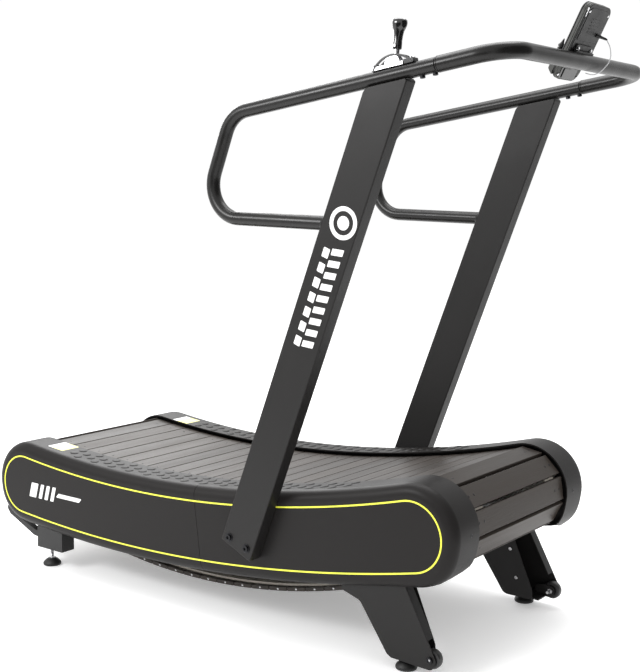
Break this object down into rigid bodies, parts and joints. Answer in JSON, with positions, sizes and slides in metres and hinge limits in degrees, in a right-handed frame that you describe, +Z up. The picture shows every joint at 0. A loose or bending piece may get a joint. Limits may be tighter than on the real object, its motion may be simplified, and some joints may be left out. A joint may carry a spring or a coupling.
{
  "type": "curved manual treadmill",
  "caption": "Motorless treadmill: slatted belt on a concave running bed between covered side rails, leaning uprights, looped handrails, front bar, console and resistance lever.",
  "frame": {"origin": "on the floor, below the middle of the machine's bounding box", "axes": "+X forward, from the rear drum towards the console; +Y to the runner's left; +Z up"},
  "size_m": [1.7851, 0.7952, 1.6092],
  "materials": {
    "cover_plastic": "fine moulded texture, soft sheen",
    "powder_coat": "matte charcoal powder coat",
    "rail_coat": "satin near-black coat",
    "frame_steel": "matte black paint",
    "slat_rubber": "matte, lightly textured taupe grey",
    "black_plastic": "matte moulded",
    "gloss_black": "polished",
    "foot_rubber": "matte",
    "black_bolt": "black oxide",
    "bright_steel": "zinc plated",
    "chrome": "polished",
    "pulley_nylon": "plain moulded nylon",
    "screen_glass": "glossy window",
    "button_rubber": "matte"
  },
  "bodies": {
    "frame": {"bar_bolt_left_1": "black_bolt", "bar_bolt_left_2": "black_bolt", "bar_bolt_right_1": "black_bolt", "bar_bolt_right_2": "black_bolt", "base_frame": "frame_steel", "brake_cable": "black_plastic", "console_bracket": "black_plastic", "console_housing": "black_plastic", "console_screen": "screen_glass", "front_bearing_left": "frame_steel", "front_bearing_right": "frame_steel", "front_handlebar": "rail_coat", "front_leg_left": "powder_coat", "front_leg_right": "powder_coat", "handrail_left": "rail_coat", "handrail_right": "rail_coat", "lever_gate": "black_plastic", "phone_shelf": "black_plastic", "rear_bearing_left": "frame_steel", "rear_bearing_right": "frame_steel", "sensor_cable": "button_rubber", "side_cover_front_left": "cover_plastic", "side_cover_front_right": "cover_plastic", "side_cover_rear_left": "cover_plastic", "side_cover_rear_right": "cover_plastic", "upright_bolt_left_1": "black_bolt", "upright_bolt_left_2": "black_bolt", "upright_bolt_right_1": "black_bolt", "upright_bolt_right_2": "black_bolt", "upright_left": "powder_coat", "upright_right": "powder_coat", "wheel_axle_left": "bright_steel", "wheel_axle_right": "bright_steel"},
    "belt_upper": {"slat_belt_upper": "slat_rubber"},
    "belt_lower": {"slat_belt_lower": "slat_rubber"},
    "front_drum": {"front_axle": "bright_steel", "front_pulley_left": "pulley_nylon", "front_pulley_right": "pulley_nylon", "slat_belt_front": "slat_rubber", "flywheel": "bright_steel"},
    "rear_drum": {"rear_axle": "bright_steel", "rear_pulley_left": "pulley_nylon", "rear_pulley_right": "pulley_nylon", "slat_belt_rear": "slat_rubber"},
    "roller_1": {"support_roller_1": "bright_steel"},
    "roller_2": {"support_roller_2": "bright_steel"},
    "roller_3": {"support_roller_3": "bright_steel"},
    "roller_4": {"support_roller_4": "bright_steel"},
    "resistance_lever": {"lever_shaft": "chrome", "lever_knob": "gloss_black"},
    "magnet_swing": {"magnet_arm": "bright_steel"},
    "wheel_right": {"transport_wheel_right": "black_plastic"},
    "wheel_left": {"transport_wheel_left": "black_plastic"},
    "front_right_foot": {"front_foot_right": "foot_rubber"},
    "front_left_foot": {"front_foot_left": "foot_rubber"},
    "rear_right_foot": {"rear_foot_right": "foot_rubber"},
    "rear_left_foot": {"rear_foot_left": "foot_rubber"},
    "button_left": {"console_button_left": "button_rubber"},
    "button_middle": {"console_button_middle": "button_rubber"},
    "button_right": {"console_button_right": "button_rubber"}
  },
  "joints": [
    {"name": "belt_travel", "type": "hinge", "parent": "frame", "child": "belt_upper", "pos_m": [-0.318, 0, 3.8468], "axis": [0, 1, 0], "range_deg": [-0.51, 0.51]},
    {"name": "belt_return", "type": "hinge", "parent": "frame", "child": "belt_lower", "pos_m": [-0.19241, 0, 2.02794], "axis": [0, 1, 0], "range_deg": [-1.2, 1.2]},
    {"name": "front_drum_spin", "type": "hinge", "parent": "frame", "child": "front_drum", "pos_m": [0.62457, 0, 0.34618], "axis": [0, 1, 0], "continuous": true},
    {"name": "rear_drum_spin", "type": "hinge", "parent": "frame", "child": "rear_drum", "pos_m": [-0.77049, 0, 0.24985], "axis": [0, 1, 0], "continuous": true},
    {"name": "roller_1_spin", "type": "hinge", "parent": "frame", "child": "roller_1", "pos_m": [-0.5348, 0, 0.30212], "axis": [0, 1, 0], "continuous": true},
    {"name": "roller_2_spin", "type": "hinge", "parent": "frame", "child": "roller_2", "pos_m": [-0.25602, 0, 0.29604], "axis": [0, 1, 0], "continuous": true},
    {"name": "roller_3_spin", "type": "hinge", "parent": "frame", "child": "roller_3", "pos_m": [0.02238, 0, 0.31185], "axis": [0, 1, 0], "continuous": true},
    {"name": "roller_4_spin", "type": "hinge", "parent": "frame", "child": "roller_4", "pos_m": [0.29868, 0, 0.34945], "axis": [0, 1, 0], "continuous": true},
    {"name": "lever_tilt", "type": "hinge", "parent": "frame", "child": "resistance_lever", "pos_m": [0.576, -0.3713, 1.4462], "axis": [0, 1, 0], "range_deg": [-25, 25]},
    {"name": "magnet_arm_swing", "type": "hinge", "parent": "frame", "child": "magnet_swing", "pos_m": [0.47539, 0, 0.35284], "axis": [0, 1, 0], "range_deg": [-3.5, 3.5]},
    {"name": "right_wheel_spin", "type": "hinge", "parent": "frame", "child": "wheel_right", "pos_m": [0.6745, -0.297, 0.048], "axis": [0, 1, 0], "continuous": true},
    {"name": "left_wheel_spin", "type": "hinge", "parent": "frame", "child": "wheel_left", "pos_m": [0.6745, 0.297, 0.048], "axis": [0, 1, 0], "continuous": true},
    {"name": "front_right_foot_level", "type": "slide", "parent": "frame", "child": "front_right_foot", "axis": [0, 0, -1], "range_m": [0, 0.012]},
    {"name": "front_left_foot_level", "type": "slide", "parent": "frame", "child": "front_left_foot", "axis": [0, 0, -1], "range_m": [0, 0.012]},
    {"name": "rear_right_foot_level", "type": "slide", "parent": "frame", "child": "rear_right_foot", "axis": [0, 0, -1], "range_m": [0, 0.012]},
    {"name": "rear_left_foot_level", "type": "slide", "parent": "frame", "child": "rear_left_foot", "axis": [0, 0, -1], "range_m": [0, 0.012]},
    {"name": "left_button_press", "type": "slide", "parent": "frame", "child": "button_left", "axis": [0.9164, 0, -0.4003], "range_m": [0, 0.0015], "stiffness_N_per_m": 600},
    {"name": "middle_button_press", "type": "slide", "parent": "frame", "child": "button_middle", "axis": [0.9164, 0, -0.4003], "range_m": [0, 0.0015], "stiffness_N_per_m": 600},
    {"name": "right_button_press", "type": "slide", "parent": "frame", "child": "button_right", "axis": [0.9164, 0, -0.4003], "range_m": [0, 0.0015], "stiffness_N_per_m": 600}
  ],
  "couplings": [
    {"joint": "belt_return", "follows": "belt_travel", "ratio": -1.7893},
    {"joint": "front_drum_spin", "follows": "belt_travel", "ratio": -35.145},
    {"joint": "rear_drum_spin", "follows": "belt_travel", "ratio": -35.145},
    {"joint": "roller_1_spin", "follows": "belt_travel", "ratio": -176.55},
    {"joint": "roller_2_spin", "follows": "belt_travel", "ratio": -176.55},
    {"joint": "roller_3_spin", "follows": "belt_travel", "ratio": -176.55},
    {"joint": "roller_4_spin", "follows": "belt_travel", "ratio": -176.55},
    {"joint": "magnet_arm_swing", "follows": "lever_tilt", "ratio": 0.12}
  ]
}
